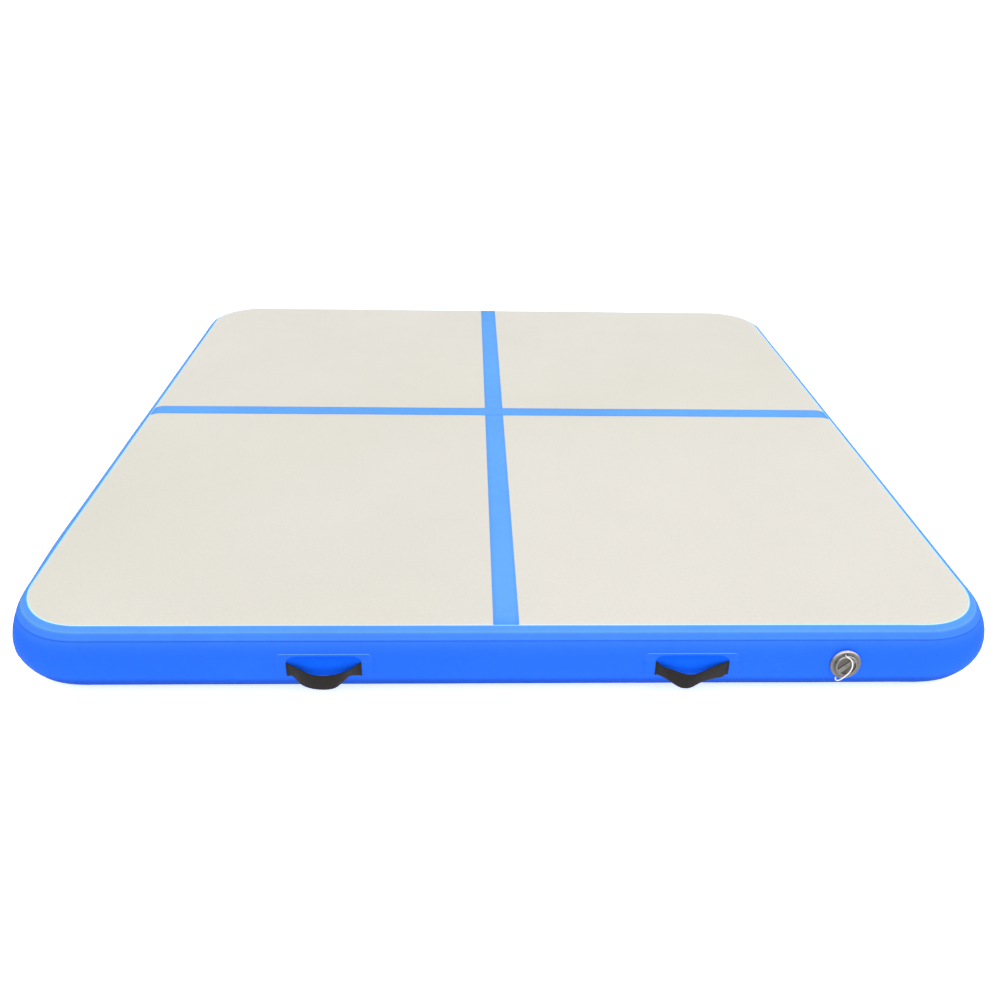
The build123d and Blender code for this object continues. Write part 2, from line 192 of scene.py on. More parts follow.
def pvc(name, face, lit_top, rough=0.42, grain=0.12):
    """Coated PVC sheet: a fine embossed grain, soft cloudiness, and a painted top light where it faces
    up.
    """
    s = Shader(name)
    # painted top light: paler where the face tips up
    lift = s.span(s.upward(), 0.1, 1.0, 0.0, 1.0)
    base = s.mix(s.math("POWER", lift, TOP_LIGHT_POWER), face, lit_top)
    cloud = s.span(s.noise(2.3, 4.0, 0.55), 0.3, 0.7, 0.95, 1.05)
    fine = s.span(s.noise(42.0, 4.0, 0.6), 0.3, 0.7, 0.975, 1.025)
    color = s.mix(1.0, base, s.lit(s.math("MULTIPLY", cloud, fine)), "MULTIPLY")
    grain_height = s.noise(900.0, 2.0, 0.6)
    pebble = s.add(
        "ShaderNodeTexVoronoi", {"Vector": s.coords.outputs["Object"], "Scale": 520.0}, feature="F1"
    ).outputs["Distance"]
    height = s.math("ADD", grain_height, s.math("MULTIPLY", pebble, 0.5))
    bump = s.bump(height, grain, 0.0006)
    bump = s.bump(s.noise(7.0, 3.0, 0.5), 0.12, 0.004, bump)
    wear = s.noise(24.0, 5.0, 0.65)
    roughness = s.span(wear, 0.25, 0.75, rough - 0.07, rough + 0.09)
    return s.finish(Base_Color=color, Roughness=roughness, Normal=bump, IOR=PVC_IOR)


def cream_top():
    """The jumping surface: pale PVC with faint dimples where the threads pull it in."""
    s = Shader("pvc_cream_top")
    warm = s.span(s.noise(0.8, 2.0, 0.5), 0.35, 0.65, 0.0, 1.0)
    base = s.mix(warm, rgb(0.585, 0.565, 0.505), rgb(0.600, 0.578, 0.528))
    cloud = s.span(s.noise(3.1, 5.0, 0.6), 0.3, 0.7, 0.985, 1.015)
    fine = s.span(s.noise(160.0, 3.0, 0.6), 0.3, 0.7, 0.975, 1.025)
    scuff = s.noise(5.0, 8.0, 0.7, stretch=(1, 5, 1))
    marks = s.span(scuff, 0.62, 0.72, 1.0, 0.975)
    tone = s.math("MULTIPLY", s.math("MULTIPLY", cloud, fine), marks)
    color = s.mix(1.0, base, s.lit(tone), "MULTIPLY")
    pits = s.add(
        "ShaderNodeTexVoronoi",
        {"Vector": s.coords.outputs["Object"], "Scale": 170.0, "Randomness": 0.35},
        feature="F1",
    ).outputs["Distance"]
    bump = s.bump(pits, 0.10, 0.0012)
    bump = s.bump(s.noise(1100.0, 2.0, 0.6), 0.16, 0.0004, bump)
    bump = s.bump(s.noise(11.0, 3.0, 0.5), 0.08, 0.003, bump)
    roughness = s.span(s.noise(18.0, 5.0, 0.65), 0.25, 0.75, 0.46, 0.62)
    return s.finish(Base_Color=color, Roughness=roughness, Normal=bump, Specular_IOR_Level=0.25)


def webbing():
    """Woven webbing: ribs across the strap with a herringbone twill, in near-black polyester."""
    s = Shader("webbing_black")
    uv = s.add("ShaderNodeUVMap", uv_map="weave").outputs[0]
    split = s.add("ShaderNodeSeparateXYZ", {0: uv})
    along, across = split.outputs[0], split.outputs[1]
    herringbone, twill_pitch, rib_pitch = 3.0, 1.5, 1.0  # the map is in millimetres
    fold = s.math("PINGPONG", across, herringbone)
    twill = s.math("SINE", s.math("MULTIPLY", s.math("ADD", along, fold), 2 * pi / twill_pitch))
    ribs = s.math("SINE", s.math("MULTIPLY", across, 2 * pi / rib_pitch))
    height = s.math("ADD", s.math("MULTIPLY", twill, 0.6), s.math("MULTIPLY", ribs, 0.4))
    fuzz = s.noise(1500.0, 3.0, 0.7)
    tone = s.span(height, -1.0, 1.0, 0.55, 1.35)
    speck = s.span(fuzz, 0.3, 0.7, 0.8, 1.2)
    color = s.mix(1.0, rgb(0.016, 0.0135, 0.0115), s.math("MULTIPLY", tone, speck), "MULTIPLY")
    bump = s.bump(height, 0.7, 0.0004)
    bump = s.bump(fuzz, 0.35, 0.0003, bump)
    return s.finish(
        Base_Color=color,
        Roughness=s.span(fuzz, 0.3, 0.7, 0.62, 0.85),
        Normal=bump,
        Sheen_Weight=0.05,
        Sheen_Roughness=0.4,
        Specular_IOR_Level=0.2,
    )


def cap_hollow_shade(s):
    """Painted shade in the two hollows beside the cap's grip bar, as a tone over the cap."""
    object_place = s.coords.outputs["Object"]
    from_valve = s.add("ShaderNodeVectorMath", {0: object_place, 1: VALVE_ORIGIN}, operation="SUBTRACT")
    place = from_valve.outputs[0]
    along = s.add("ShaderNodeVectorMath", {0: place, 1: VALVE_OUT}, operation="DOT_PRODUCT")
    height = along.outputs["Value"]
    size = s.add("ShaderNodeVectorMath", {0: place}, operation="LENGTH").outputs["Value"]
    squares = s.math("MULTIPLY", size, size), s.math("MULTIPLY", height, height)
    from_axis = s.math("SQRT", s.math("SUBTRACT", *squares))
    deep = s.span(height, CAP_TOP - 1.2 * MM, CAP_TOP - 0.3 * MM, 1.0, 0.0)
    inside = s.span(from_axis, CAP_HOLLOW_R - 0.2 * MM, CAP_HOLLOW_R, 1.0, 0.0)
    return s.span(s.math("MULTIPLY", deep, inside), 0.0, 1.0, 1.0, HOLLOW_SHADE)


def moulded(name, color, rough, grain=0.1, metallic=0.0, coat=0.0, lit_top=None, hollows=None):
    """Moulded plastic or metal: a fine texture and rubbed patches.

    With a top colour it has a painted top light, paler on top, and painted shade in its corners, and
    hollows(shader) may paint further shade.
    """
    s = Shader(name)
    patches = s.noise(220.0, 4.0, 0.6)
    tone = s.span(patches, 0.3, 0.7, 0.84, 1.16)
    if lit_top is not None:
        # painted top light: paler where it faces up
        color = s.mix(s.span(s.upward(), 0.35, 0.8, 0.0, 1.0), color, lit_top)
        # painted shade: darker in corners and recesses, from an occlusion node
        corner = s.add("ShaderNodeAmbientOcclusion", {"Distance": 5 * MM}, samples=8).outputs["AO"]
        tone = s.math("MULTIPLY", tone, s.span(corner, 0.35, 0.95, 0.30, 1.05))
    tint = s.mix(1.0, color, tone, "MULTIPLY")
    if hollows is not None:
        tint = s.mix(1.0, tint, hollows(s), "MULTIPLY")
    fine = s.noise(2600.0, 2.0, 0.5)
    return s.finish(
        Base_Color=tint,
        Roughness=s.span(patches, 0.3, 0.7, rough - 0.06, rough + 0.08),
        Normal=s.bump(fine, grain, 0.0002),
        Metallic=metallic,
        Coat_Weight=coat,
        Coat_Roughness=0.2,
    )


def woven(name, color, pitch):
    """Plain-woven cloth: two sets of threads over and under each other."""
    s = Shader(name)
    place = s.add("ShaderNodeSeparateXYZ", {0: s.coords.outputs["Object"]})
    warp = s.math("SINE", s.math("MULTIPLY", place.outputs[0], 2 * pi / pitch))
    weft = s.math("SINE", s.math("MULTIPLY", place.outputs[1], 2 * pi / pitch))
    height = s.math("MULTIPLY", warp, weft)
    fuzz = s.noise(900.0, 3.0, 0.6)
    tone = s.math("MULTIPLY", s.span(height, -1, 1, 0.8, 1.1), s.span(fuzz, 0.3, 0.7, 0.9, 1.1))
    color = s.mix(1.0, color, tone, "MULTIPLY")
    roughness = s.span(fuzz, 0, 1, 0.7, 0.95)
    return s.finish(Base_Color=color, Roughness=roughness, Normal=s.bump(height, 0.5, 0.0003))


# each PVC has its own colour and a paler painted top light where it faces up
WALL_BLUE = rgb(0.019, 0.124, 0.74)
LIT_TOP_BLUE = rgb(0.150, 0.415, 0.78)
blue = pvc("pvc_blue", WALL_BLUE, LIT_TOP_BLUE)
# painted shade: deeper blue for the recess behind each handle's strap and round the valve's flange
shade_blue = pvc("pvc_blue_painted_shade", rgb(0.005, 0.094, 0.74), rgb(0.009, 0.117, 0.74))
tape_blue = pvc("tape_light_blue", WALL_BLUE, rgb(0.110, 0.330, 0.76), rough=0.38, grain=0.08)
cream = cream_top()
web = webbing()
# the valve's painted top light, a highlight along its upper rims
VALVE_LIT_TOP = rgb(0.60, 0.56, 0.58)
valve_grey = moulded("valve_plastic", rgb(0.138, 0.127, 0.111), 0.34, 0.12, 0.2, 0.2, VALVE_LIT_TOP)
cap_grey = moulded(
    "valve_cap_plastic", rgb(0.150, 0.139, 0.121), 0.34, 0.12, 0.2, 0.2, VALVE_LIT_TOP, cap_hollow_shade
)
rubber = moulded("rubber_black", rgb(0.02, 0.02, 0.02), 0.6, 0.25)
steel = moulded("spring_steel", rgb(0.55, 0.55, 0.56), 0.3, 0.05, 1.0)
cord_white = moulded("cord_white", rgb(0.80, 0.78, 0.72), 0.38, 0.2)
cloth_white = woven("drop_stitch_cloth", rgb(0.78, 0.77, 0.74), 1.2 * MM)
yarn_white = woven("drop_stitch_yarn", rgb(0.82, 0.81, 0.78), 0.6 * MM)


# ---- mesh helpers -----------------------------------------------------------------------------
def finish_mesh(name, verts, faces, material, sharp=35, weld=0.0, shade=None):
    """Makes an object from vertices and faces, smooth but for edges sharper than sharp degrees."""
    mesh = bpy.data.meshes.new(name)
    mesh.from_pydata(verts, [], faces)
    if shade is not None:
        mesh.attributes.new("shade", "FLOAT", "POINT").data.foreach_set("value", shade)
    if weld:
        bm = bmesh.new()
        bm.from_mesh(mesh)
        bmesh.ops.remove_doubles(bm, verts=bm.verts, dist=weld)
        bmesh.ops.dissolve_degenerate(bm, edges=bm.edges, dist=weld)
        bmesh.ops.recalc_face_normals(bm, faces=bm.faces)
        bm.to_mesh(mesh)
        bm.free()
    mesh.polygons.foreach_set("use_smooth", [True] * len(mesh.polygons))
    mesh.set_sharp_from_angle(angle=radians(sharp))
    mesh.materials.append(material)
    mesh.update()
    obj = bpy.data.objects.new(name, mesh)
    bpy.context.scene.collection.objects.link(obj)
    return obj


def grid_faces(rows, columns, close_rows=False, close_columns=False, start=0):
    """Quads over a grid of vertices that is stored row by row."""
    faces = []
    for i in range(rows if close_rows else rows - 1):
        for j in range(columns if close_columns else columns - 1):
            this_row = start + i % rows * columns
            next_row = start + (i + 1) % rows * columns
            c, d = j % columns, (j + 1) % columns
            faces.append((this_row + c, this_row + d, next_row + d, next_row + c))
    return faces


SLOW_SWELL, QUICK_SWELL = 0.55 * MM, 0.16 * MM  # heights of the chamber's unevenness
VALVE_CALM, VALVE_FADE = 34 * MM, 60 * MM  # there is none this near the valve, and then it grows
FLOOR_FADE = 25 * MM  # it grows up to this height above the floor


def swell(point):
    """How far the chamber bulges at a place: slow, slight unevenness that fades out at the valve."""
    slow = noise.noise(point * 4.2) * SLOW_SWELL
    quick = noise.noise(point * 13.0 + Vector((3, 1, 7))) * QUICK_SWELL
    from_valve = min(1.0, max(0.0, (point - VALVE_ORIGIN).length - VALVE_CALM) / VALVE_FADE)
    return (slow + quick) * from_valve


def off_floor(height):
    """How much of the swell there is at a height: none where the mat lies on the floor."""
    return min(1.0, max(0.0, height / FLOOR_FADE))


SIDE_STEPS, CORNER_STEPS = 72, 18


def rim_stations():
    """Round the plan square: (place on the inner square, direction out), once all the way round."""
    stations = []
    for quarter in range(4):
        turn = Matrix.Rotation(quarter * pi / 2, 3, "Z")
        for i in range(SIDE_STEPS):
            along = -INNER + 2 * INNER * i / SIDE_STEPS
            stations.append((turn @ Vector((along, -INNER, 0)), turn @ Vector((0, -1, 0))))
        for i in range(CORNER_STEPS):
            angle = -pi / 2 + pi / 2 * i / CORNER_STEPS
            out = Vector((cos(angle), sin(angle), 0))
            stations.append((turn @ Vector((INNER, -INNER, 0)), turn @ out))
    return stations


STATIONS = rim_stations()

# Angles round the wall, in degrees from straight up.
SEAM_START, SEAM_STEP, STRIP_EDGE, SEAM_END = 23.0, 34.5, 36.0, 47.7
SHEET_EDGE = 42  # the top and bottom sheets end here, under the side strip

CREAM_EDGE = WALL_LINE + WALL_R * sin(radians(SEAM_START))  # where the seam tape starts, in plan
SIDE_DRAW = 5 * MM  # the threads draw the left and right walls in by this much
CORNER_SHIFT, CORNER_DRAW = 4 * MM, 9 * MM  # the slacker front left corner, at its top and its wall
CORNER_PUSH = 5 * MM  # the fuller front right corner


def smooth(t):
    """Goes from 0 to 1, level at both ends, as t does."""
    t = max(0.0, min(1.0, t))
    return t * t * (3 - 2 * t)


def plan_shift(point):
    """How the inflated walls stray from a true rounded square, seen from above."""
    side = 1 if point.x > 0 else -1
    wall = smooth((abs(point.x) - CREAM_EDGE) / (MAT_HALF - CREAM_EDGE))
    inward = SIDE_DRAW * wall
    if side < 0:
        at_corner = smooth((-point.x - 0.85) / 0.1) * smooth((-point.y - 0.6) / 0.3)
        inward += (CORNER_SHIFT + CORNER_DRAW * wall) * at_corner
    shift = Vector((-side * inward, 0, 0))
    fuller = smooth(1 - (point.xy - Vector((0.92, -0.92))).length / 0.16)
    return shift + Vector((1, -1, 0)).normalized() * CORNER_PUSH * fuller


def around(profile):
    """Vertices of a profile of (out from the inner square, height) taken round the mat."""
    verts = []
    for place, out in STATIONS:
        for distance, height in profile:
            point = place + out * distance + Vector((0, 0, height))
            radial = out * (distance - PLAN_R) + Vector((0, 0, height - WALL_Z))
            flat = distance <= PLAN_R
            normal = Vector((0, 0, 1 if height > WALL_Z else -1)) if flat else radial.normalized()
            verts.append(point + normal * swell(point) * off_floor(height) + plan_shift(point))
    return verts


def arc(radius, start, end, steps):
    """Profile points round the wall, at angles in degrees from straight up."""
    points = []
    for i in range(steps + 1):
        angle = radians(start + (end - start) * i / steps)
        points.append((PLAN_R + radius * sin(angle), WALL_Z + radius * cos(angle)))
    return points


def polar(points, upward=True):
    """(radius, degrees from straight up) pairs as profile points; below, they are mirrored."""
    sign = 1 if upward else -1
    return [(PLAN_R + r * sin(radians(a)), WALL_Z + sign * r * cos(radians(a))) for r, a in points]


def closed_band(name, profile, material, shade):
    """A closed solid band round the whole mat, with a shade for each point of its profile."""
    verts = around(profile)
    faces = grid_faces(len(STATIONS), len(profile), close_rows=True, close_columns=True)
    return finish_mesh(name, verts, faces, material, weld=1e-6, shade=shade * len(STATIONS))


RIM_HIGHLIGHT = 0.22  # a painted highlight makes the cream sheet this much paler beside the seam tape
RIM_BEAD = (21.9, 22.3)  # rows in degrees round the wall; the painted highlight starts at the second


def covered_sheet(name, side, material):
    """Top or bottom sheet: flat over the plan and curved down (side 1) or up (side -1) at its rim."""

    def flip(points):
        return points if side > 0 else [(d, 2 * WALL_Z - z) for d, z in points]

    flat_steps = [PLAN_R * i / 6 for i in range(6)]
    angles = [*range(0, 22, 3), *RIM_BEAD, SEAM_START, *range(24, SHEET_EDGE + 1, 3)]

    def layer(top, radius):
        return flip([(d, top) for d in flat_steps] + polar([(radius, a) for a in angles]))

    outer, inner = layer(THICK, WALL_R), layer(THICK - SHEET, WALL_R - SHEET)
    profile = outer + inner[::-1]
    # the rows of the painted highlight along the cream's edge
    pale = [len(flat_steps) + angles.index(a) for a in (RIM_BEAD[1], SEAM_START)]
    verts = around(profile)
    shade = [-RIM_HIGHLIGHT if i in pale else 0.0 for i in range(len(profile))] * len(STATIONS)
    faces = grid_faces(len(STATIONS), len(profile), close_rows=True)
    for index, level in ((0, outer[0][1]), (len(profile) - 1, inner[0][1])):
        start = len(verts)
        for i in range(SIDE_STEPS + 1):
            for j in range(SIDE_STEPS + 1):
                x, y = (-INNER + 2 * INNER * k / SIDE_STEPS for k in (j, i))
                point = Vector((x, y, level))
                verts.append(point + Vector((0, 0, side)) * swell(point) * off_floor(level))
        shade += [0.0] * (SIDE_STEPS + 1) ** 2
        faces += grid_faces(SIDE_STEPS + 1, SIDE_STEPS + 1, start=start)
    return finish_mesh(name, verts, faces, material, weld=1e-5, shade=shade)


# ---- air chamber ------------------------------------------------------------------------------
top_sheet = covered_sheet("top_sheet_cream", 1, cream)
bottom_sheet = covered_sheet("bottom_sheet_blue", -1, blue)


def seam_profile():
    """Seam tape: a facet on the top sheet, a step up, and a facet on the side strip.

    Each point is a radius and an angle. The shades paint a highlight along the cream's edge, and dark
    ones at the step and along the lower edge.
    """
    on_sheet = WALL_R + SHEET
    outer = [
        (WALL_R + 0.25 * MM, SEAM_START),
        (on_sheet - 0.1 * MM, SEAM_START + 0.8),
        (on_sheet, SEAM_START + 1.5),
        (on_sheet - 0.30 * MM, 27.0),
        (on_sheet - 0.38 * MM, 30.0),
        (on_sheet - 0.15 * MM, 33.0),
        (on_sheet + 0.05 * MM, SEAM_STEP),
        (SEAM_R - 0.15 * MM, SEAM_STEP + 0.9),
        (SEAM_R, SEAM_STEP + 1.7),
        (SEAM_R - 0.22 * MM, 39.0),
        (SEAM_R - 0.32 * MM, 42.0),
        (SEAM_R - 0.2 * MM, 45.0),
        (SEAM_R, SEAM_END - 1.1),
        (SEAM_R - 0.1 * MM, SEAM_END - 0.4),
        (SEAM_R - 0.35 * MM, SEAM_END),
    ]
    inner = [
        (STRIP_R, SEAM_END),
        (STRIP_R, 42.0),
        (STRIP_R, STRIP_EDGE),
        (WALL_R, STRIP_EDGE),
        (WALL_R, 30.0),
        (WALL_R, SEAM_START),
    ]
    # negative shades paint a highlight along the cream's edge
    shade = {0: -1.2, 1: -1.0, 6: 0.12, 7: 0.2, 8: 0.06, 13: 0.12, 14: 0.30, 15: 0.30}
    return outer + inner, [shade.get(i, 0.0) for i in range(len(outer + inner))]


seam_points, seam_shade = seam_profile()
seam_top = closed_band("seam_tape_top_blue", polar(seam_points), blue, seam_shade)
seam_bottom = closed_band("seam_tape_bottom_blue", polar(seam_points, False), blue, seam_shade)


SEAM_LINE = 0.16  # how dark the line along each seam tape's edge is, at the edge itself
SEAM_LINE_W = 2.6  # how far it fades, in degrees round the wall
UNDERSIDE_SHADE = 0.42  # how dark the painted shade on the wall's underside gets


def strip_profile():
    """Side wall strip, darker along its two seams, with painted shade where it turns under."""
    steps = 48
    start, end = STRIP_EDGE, 180 - STRIP_EDGE
    outer = arc(STRIP_R, start, end, steps)
    inner = arc(WALL_R, start, end, steps)[::-1]
    shade = []
    for i in range(steps + 1):
        angle = start + (end - start) * i / steps
        edge = min(abs(angle - SEAM_END), abs(180 - angle - SEAM_END))
        # painted shade where the wall turns under
        under = smooth((angle - 106) / 16) * UNDERSIDE_SHADE
        shade.append(SEAM_LINE * max(0.0, 1 - edge / SEAM_LINE_W) + under)
    return outer + inner, shade + [0.0] * (steps + 1)


strip_points, strip_shade = strip_profile()
side_strip = closed_band("side_wall_strip_blue", strip_points, blue, strip_shade)


def cut_valve_hole(obj, radius):
    """Cuts the valve's hole through the side strip."""
    bm = bmesh.new()
    bmesh.ops.create_cone(bm, cap_ends=True, segments=64, radius1=radius, radius2=radius, depth=40 * MM)
    mesh = bpy.data.meshes.new("hole_tool")
    bm.to_mesh(mesh)
    bm.free()
    tool = bpy.data.objects.new("hole_tool", mesh)
    turn = VALVE_OUT.to_track_quat("Z", "Y").to_matrix().to_4x4()
    tool.matrix_world = Matrix.Translation(VALVE_ORIGIN) @ turn
    bpy.context.scene.collection.objects.link(tool)
    modifier = obj.modifiers.new("hole", "BOOLEAN")
    modifier.operation, modifier.solver, modifier.object = "DIFFERENCE", "EXACT", tool
    bpy.context.view_layer.objects.active = obj
    bpy.ops.object.modifier_apply(modifier=modifier.name)
    bpy.data.objects.remove(tool)


cut_valve_hole(side_strip, HOLE_R)


def line_tape(name, turn, along, over_other):
    """A line tape over the top from wall to wall, following the shoulder down to the seam tape.

    It runs front to back at a distance along, is then turned, and may ride up over the other tape.
    """
    rotate = Matrix.Rotation(turn, 3, "Z")
    half = WALL_LINE
    end_arc = radians(SEAM_START)
    run = [(-half - WALL_R * sin(end_arc * (1 - i / 6)), -end_arc * (1 - i / 6)) for i in range(6)]
    run += [(-half + 2 * half * i / 90, 0.0) for i in range(91)]
    run += [(half + WALL_R * sin(end_arc * (i + 1) / 6), end_arc * (i + 1) / 6) for i in range(6)]
    cross = [-1, -0.97, -0.5, 0, 0.5, 0.97, 1]
    lift = [0.15, 1, 1, 1, 1, 1, 0.15]
    verts, columns = [], 2 * len(cross)
    for y, angle in run:
        ring = []
        for layer in (1, 0):
            order = range(len(cross)) if layer else reversed(range(len(cross)))
            for k in order:
                out = Vector((0, sin(angle), cos(angle)))
                across = cross[k] * LINE_W / 2
                base = Vector((along + across, y, WALL_Z + WALL_R * cos(angle)))
                height = LINE_T * lift[k] if layer else 0.02 * MM
                if over_other:
                    ramp = (abs(y) - (LINE_W / 2 + 1 * MM)) / (4 * MM)
                    height += LINE_T * min(1.0, max(0.0, 1 - ramp))
                world = rotate @ base
                ring.append(world + rotate @ out * (height + swell(world)))
        verts += ring
    faces = grid_faces(len(run), columns, close_columns=True)
    faces += [tuple(range(columns)), tuple(range(len(verts) - columns, len(verts)))[::-1]]
    return finish_mesh(name, verts, faces, tape_blue, weld=1e-7)


tape_long = line_tape("line_tape_long_blue", 0, 0, False)
tape_cross = line_tape("line_tape_cross_blue", pi / 2, CROSS_Y, True)


def cloth_layer(name, low):
    """A drop-stitch base cloth, just inside a sheet."""
    verts, faces = [], []
    half = WALL_LINE - 2 * MM
    steps = 24
    for level in (low + CLOTH, low):
        start = len(verts)
        for i in range(steps + 1):
            for j in range(steps + 1):
                x, y = (-1 + 2 * k / steps for k in (j, i))
                round_off = 1 - 0.055 * max(0.0, abs(x) + abs(y) - 1.0) ** 2
                verts.append(Vector((x * half * round_off, y * half * round_off, level)))
        faces += grid_faces(steps + 1, steps + 1, start=start)
    loop = list(range(steps + 1)) + [(k + 1) * (steps + 1) + steps for k in range(steps)]
    loop += [steps * (steps + 1) + steps - 1 - k for k in range(steps)]
    loop += [(steps - 1 - k) * (steps + 1) for k in range(steps - 1)]
    below = (steps + 1) ** 2
    for a, b in zip(loop, loop[1:] + loop[:1]):
        faces.append((a, b, b + below, a + below))
    return finish_mesh(name, verts, faces, cloth_white, weld=1e-7)


cloth_top = cloth_layer("drop_stitch_cloth_top_woven", THICK - SHEET - CLOTH - 0.8 * MM)
cloth_bottom = cloth_layer("drop_stitch_cloth_bottom_woven", SHEET + 0.2 * MM)


def threads():
    """Drop-stitch yarns in leaning pairs, a grid of them over the whole plan."""
    verts, faces = [], []
    count, half = 46, WALL_LINE - 40 * MM
    low, high = SHEET + CLOTH + 0.3 * MM, THICK - SHEET - CLOTH - 0.9 * MM
    thick = 0.45 * MM
    for i in range(count):
        for j in range(count):
            x, y = (-half + 2 * half * k / (count - 1) for k in (i, j))
            for lean in (-1, 1):
                start = len(verts)
                for z, shift in ((low, -lean), (high, lean)):
                    for k in range(4):
                        angle = pi / 2 * k
                        offset = Vector((cos(angle), sin(angle), 0)) * thick
                        verts.append(Vector((x + shift * 4 * MM, y + lean * 1.5 * MM, z)) + offset)
                for k in range(4):
                    m = (k + 1) % 4
                    faces.append((start + k, start + m, start + 4 + m, start + 4 + k))
                faces.append((start + 3, start + 2, start + 1, start))
                faces.append((start + 4, start + 5, start + 6, start + 7))
    return finish_mesh("drop_stitch_yarns", verts, faces, yarn_white)


yarns = threads()


# ---- carry handles ----------------------------------------------------------------------------
PATCH_W, PATCH_LOW, PATCH_HIGH, PATCH_CORNER = 190 * MM, -20 * MM, 31 * MM, 10 * MM
WINDOW_W, WINDOW_LOW, WINDOW_HIGH, WINDOW_CUT = 143 * MM, -14 * MM, 27 * MM, 12 * MM
BASE_T = 0.9 * SHEET  # the base patch is drawn this thick, so that it never meets the cover patch
STRAP_W, STRAP_T = 30 * MM, 2 * MM
TAB_END = 90.5 * MM
STRAP_TOP = 16.5 * MM
INSET = 8 * MM  # the base patch ends this far inside the cover patch at each side, less above and below
TAB_SHORT = 5 * MM  # the drawn tabs stop short of the CAD ones, inside the cover's flush rim
TOP_RIM_SHADE = 0.16  # the cover patch's upper rim faces up, and painted shade darkens it by this much
WINDOW_LIP_HIGHLIGHT = 0.12  # the window's upper lip has a painted highlight, this much paler
RECESS_PALE = 0.45  # the recess is paler low in its middle, where light reaches it behind the strap
LOOP_HALF = 71  # half the strap's free stretch between its sleeves, in millimetres
TAB_STEPS, LOOP_STEPS, ACROSS_STEPS = 8, 96, 12  # rows in each tab and in the loop, and across
CUP = 0.8  # how far the strap's middle bows out past its two edges, in millimetres


class Wall:
    """A place on the front or back wall: along it, up from its middle line, and out of it."""

    def __init__(self, x, side):
        self.x, self.side = x, side

    def at(self, along, out, up):
        return Vector((self.x + along, self.side * (WALL_LINE + out), WALL_Z + up))

    def on(self, along, up, radius):
        """The point on the wall's round at that height, at a radius that may be above the sheet."""
        angle = asin(max(-1.0, min(1.0, up / WALL_R)))
        out = self.at(0, cos(angle), sin(angle)) - self.at(0, 0, 0)
        ground = self.at(along, STRIP_R * cos(angle), STRIP_R * sin(angle))
        return self.at(along, radius * cos(angle), radius * sin(angle)) + out * swell(ground)


ARC_STEPS, SIDE_POINTS, LONG_POINTS = 6, 10, 30  # in each corner, upright side and long side


def rounded_loop(width, low, high, corners, widen=1.0):
    """Points round a rectangle whose corners have their own radii, starting at lower left.

    The corners are widen times as wide as they are high.
    """
    half = width / 2
    turns = [(-half, low, 1, 1), (half, low, -1, 1), (half, high, -1, -1), (-half, high, 1, -1)]
    arcs = []
    for k, (x, y, sx, sy) in enumerate(turns):
        angles = [pi + pi / 2 * k + pi / 2 * i / ARC_STEPS for i in range(ARC_STEPS + 1)]
        r = corners[k]
        arcs.append([(x + (sx + cos(a)) * r * widen, y + (sy + sin(a)) * r) for a in angles])
    points = []
    for k in range(4):
        points += arcs[k]
        (ax, ay), (bx, by) = arcs[k][-1], arcs[(k + 1) % 4][0]
        count = SIDE_POINTS if k % 2 else LONG_POINTS
        points += [(ax + (bx - ax) * i / count, ay + (by - ay) * i / count) for i in range(1, count)]
    return points


def sleeve_height(along, up):
    """How far the cover patch stands off the base patch: it is raised over the strap's ends."""
    x = abs(along)
    side = smooth((x - 60 * MM) / (10 * MM)) * smooth((TAB_END + 3.5 * MM - x) / (4 * MM))
    middle = STRAP_TOP - STRAP_W / 2
    rise = smooth((STRAP_W / 2 + 4.5 * MM - abs(up - middle)) / (4 * MM))
    return STRAP_T * side * rise


def ring_patch(name, wall, outer, inner, material):
    """The cover patch: a welded ring between two outlines, closed, with its rims rounded over."""
    spans = [0.0, 0.08, 0.16, 0.24, 0.32, 0.5, 0.75, 0.97, 1.0]
    rise = [0, 0.3, 0.7, 0.95, 1, 1, 1, 1, 1]  # the rim is welded down flush with the wall
    lift = [0.1, 0.4, 0.7, 1, 1, 1, 1, 0.85, 0.35]
    verts, shade = [], []
    outward = list(range(len(spans)))
    for (ox, oy), (ix, iy) in zip(outer, inner):
        for layer in (1, 0):
            for k in outward if layer else outward[::-1]:
                x, y = ox + (ix - ox) * spans[k], oy + (iy - oy) * spans[k]
                under = STRIP_R + (SEAM_R - STRIP_R) * rise[k] + sleeve_height(x, y)
                verts.append(wall.on(x, y, under + (SHEET * lift[k] if layer else 0.0)))
                # a painted highlight on the window's upper lip and painted shade on the patch's upper rim
                if layer and k in (7, 8) and y > WINDOW_HIGH - 2 * MM:
                    shade.append(-WINDOW_LIP_HIGHLIGHT)
                elif layer and k < 4:
                    shade.append(TOP_RIM_SHADE * smooth((y - PATCH_HIGH + 5 * MM) / (5 * MM)))
                else:
                    shade.append(0.0)
    faces = grid_faces(len(outer), 2 * len(spans), close_rows=True, close_columns=True)
    return finish_mesh(name, verts, faces, material, sharp=50, shade=shade)


